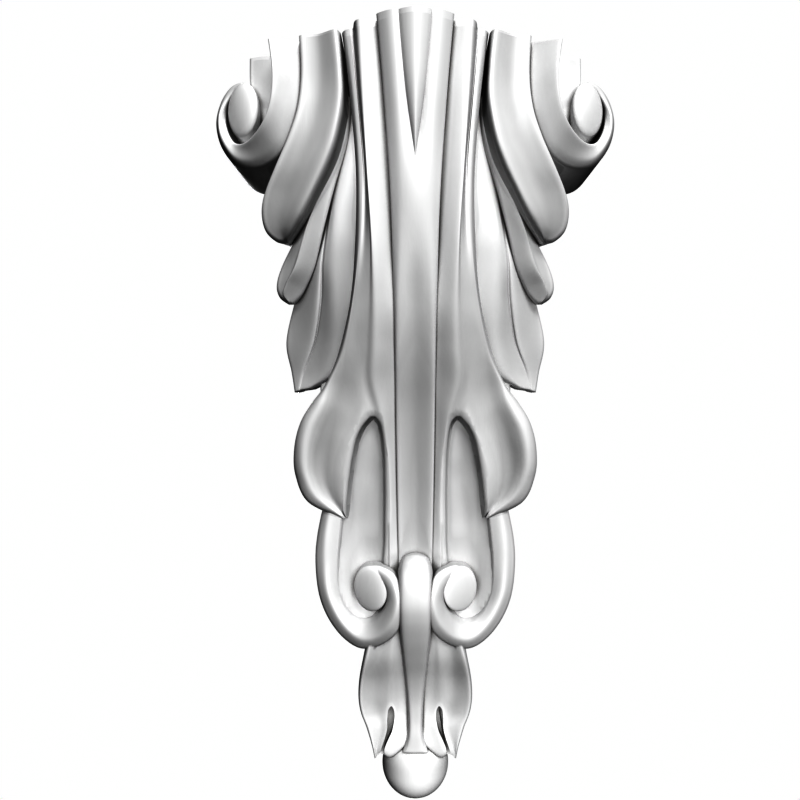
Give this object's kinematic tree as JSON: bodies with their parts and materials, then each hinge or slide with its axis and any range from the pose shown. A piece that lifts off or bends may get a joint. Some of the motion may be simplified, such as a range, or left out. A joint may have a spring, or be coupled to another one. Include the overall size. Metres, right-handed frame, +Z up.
{
  "type": "wooden corbel bracket",
  "caption": "Carved acanthus corbel with scrolled top corners, cupped leaves and a ball drop, flat at the back and on top, for fixing under a shelf or beam.",
  "frame": {"origin": "on the flat back, on the centreline, at half the height", "axes": "+Z up to the flat top, +Y out of the back into the wall, so the carving faces -Y, and +X to the right seen from the front"},
  "size_m": [0.1948, 0.1159, 0.368],
  "materials": {
    "painted_wood": "satin pale grey-white paint on carved wood"
  },
  "bodies": {
    "root": {"corbel": "painted_wood"}
  },
  "joints": []
}
